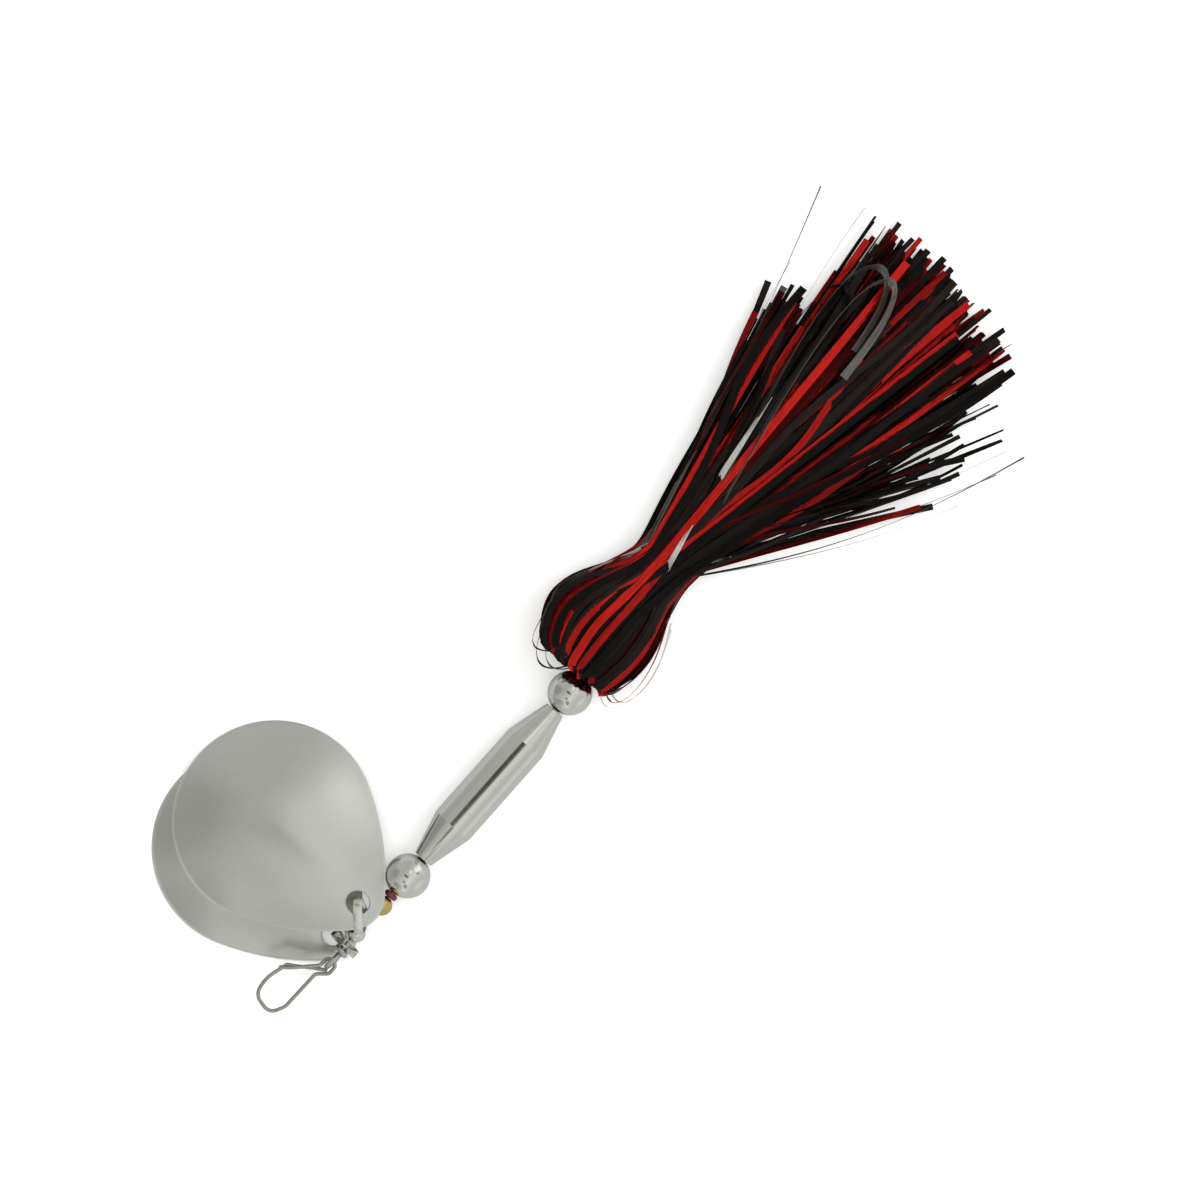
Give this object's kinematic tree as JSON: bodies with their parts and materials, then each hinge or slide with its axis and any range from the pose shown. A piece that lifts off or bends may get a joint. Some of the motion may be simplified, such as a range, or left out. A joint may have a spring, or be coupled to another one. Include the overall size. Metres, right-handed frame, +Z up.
{
  "type": "inline spinner",
  "caption": "Inline fishing spinner: wire shaft with snap, two nested round blades on clevises, beads, turned body weight and a long red and black strand skirt.",
  "frame": {"origin": "centre of the shaft's front eye", "axes": "+X along the shaft towards the skirt, +Y to the side the blades lie on, +Z up from the surface it lies on"},
  "size_m": [0.2241, 0.0869, 0.0161],
  "materials": {
    "wire": "drawn stainless wire, satin",
    "snap_steel": "nickel-plated spring wire",
    "clevis_nickel": "bright nickel plate",
    "blade_nickel": "polished nickel plate",
    "bead_nickel": "polished nickel plate",
    "body_nickel": "turned and nickel plated",
    "brass": "polished brass",
    "red_bead": "dark red gloss",
    "sleeve": "black tube",
    "thread": "lacquered black thread",
    "black_flash": "glossy black metallic film strands",
    "red_flash": "metallic red film strands"
  },
  "bodies": {
    "shaft": {"shaft_wire": "wire", "tie_sleeve": "sleeve", "front_tie_thread": "thread", "waist_tie_thread": "thread", "black_hank_low_right": "black_flash", "red_hank_low_middle": "red_flash", "black_hank_low_left": "black_flash", "red_hank_top_right": "red_flash", "black_hank_top_middle": "black_flash", "red_hank_top_left": "red_flash"},
    "snap": {"snap_wire": "snap_steel"},
    "front_clevis": {"front_clevis": "clevis_nickel"},
    "front_blade": {"front_blade": "blade_nickel"},
    "spacer_bead": {"spacer_bead": "bead_nickel"},
    "rear_clevis": {"rear_clevis": "clevis_nickel"},
    "rear_blade": {"rear_blade": "blade_nickel"},
    "brass_bead": {"brass_bead": "brass"},
    "red_bead": {"red_bead": "red_bead"},
    "front_ball": {"front_ball": "bead_nickel"},
    "body_weight": {"body_weight": "body_nickel"},
    "rear_ball": {"rear_ball": "bead_nickel"}
  },
  "joints": [
    {"name": "snap_swing", "type": "hinge", "parent": "shaft", "child": "snap", "pos_m": [-0.0017, 0, 0], "axis": [0, 0, 1], "range_deg": [-45, 60]},
    {"name": "front_clevis_spin", "type": "hinge", "parent": "shaft", "child": "front_clevis", "pos_m": [0, 0, 0], "axis": [1, 0, 0], "continuous": true},
    {"name": "front_blade_swing", "type": "hinge", "parent": "front_clevis", "child": "front_blade", "pos_m": [0.00439, 0.00371, -0.002], "axis": [0, 0.016, 0.9999], "range_deg": [-8, 2]},
    {"name": "rear_clevis_spin", "type": "hinge", "parent": "shaft", "child": "rear_clevis", "pos_m": [0, 0, 0], "axis": [1, 0, 0], "continuous": true},
    {"name": "rear_blade_swing", "type": "hinge", "parent": "rear_clevis", "child": "rear_blade", "pos_m": [0.0139, 0.0045, 0.0048], "axis": [0.1087, 0.1264, 0.986], "range_deg": [0, 12]},
    {"name": "spacer_bead_spin", "type": "hinge", "parent": "shaft", "child": "spacer_bead", "pos_m": [0, 0, 0], "axis": [1, 0, 0], "continuous": true},
    {"name": "brass_bead_spin", "type": "hinge", "parent": "shaft", "child": "brass_bead", "pos_m": [0, 0, 0], "axis": [1, 0, 0], "continuous": true},
    {"name": "red_bead_spin", "type": "hinge", "parent": "shaft", "child": "red_bead", "pos_m": [0, 0, 0], "axis": [1, 0, 0], "continuous": true},
    {"name": "front_ball_spin", "type": "hinge", "parent": "shaft", "child": "front_ball", "pos_m": [0, 0, 0], "axis": [1, 0, 0], "continuous": true},
    {"name": "body_weight_spin", "type": "hinge", "parent": "shaft", "child": "body_weight", "pos_m": [0, 0, 0], "axis": [1, 0, 0], "continuous": true},
    {"name": "rear_ball_spin", "type": "hinge", "parent": "shaft", "child": "rear_ball", "pos_m": [0, 0, 0], "axis": [1, 0, 0], "continuous": true}
  ],
  "couplings": [
    {"joint": "rear_clevis_spin", "follows": "front_clevis_spin", "ratio": 1}
  ]
}
